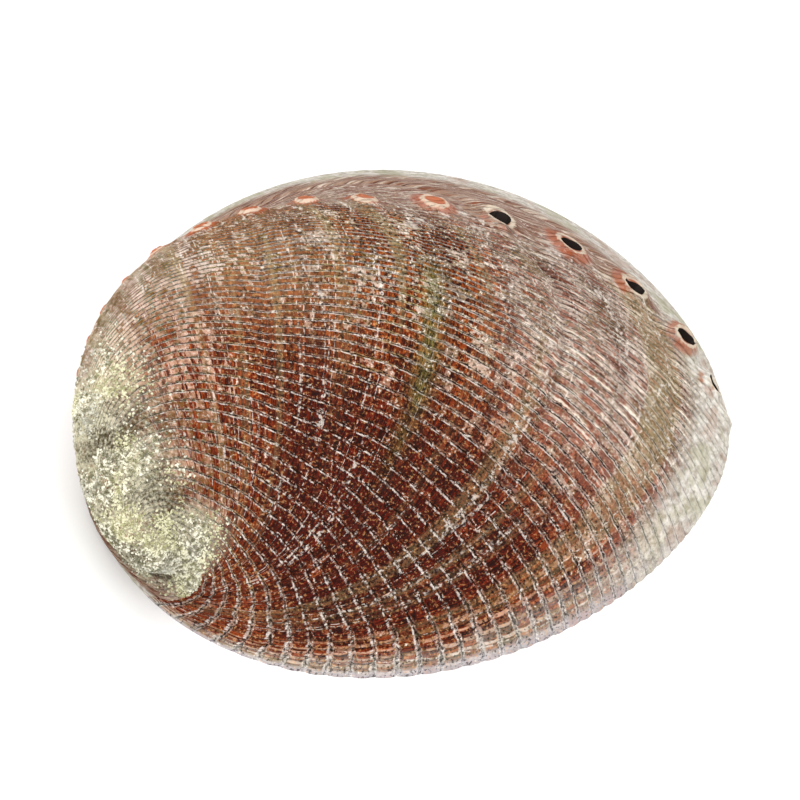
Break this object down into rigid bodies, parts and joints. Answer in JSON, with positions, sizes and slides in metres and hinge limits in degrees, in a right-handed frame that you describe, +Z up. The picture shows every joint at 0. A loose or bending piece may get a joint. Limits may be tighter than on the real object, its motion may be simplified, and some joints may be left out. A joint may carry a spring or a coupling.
{
  "type": "abalone shell",
  "caption": "Ear-shaped spiral sea shell with corded back, a row of open breathing pores along one side and a wide pearly hollow, resting on its rim.",
  "frame": {"origin": "centre of the bounding box's footprint, on the plane that the rim rests on", "axes": "+X from the spire to the anterior end, +Y towards the row of pores, +Z up through the back of the shell"},
  "size_m": [0.0898, 0.0738, 0.0223],
  "materials": {
    "shell": "corded limy shell, satin, red-brown with grey-white ridges",
    "nacre": "smooth iridescent mother of pearl",
    "crust": "matt, granular limy growth"
  },
  "bodies": {
    "root": {"shell": "shell"}
  },
  "joints": []
}
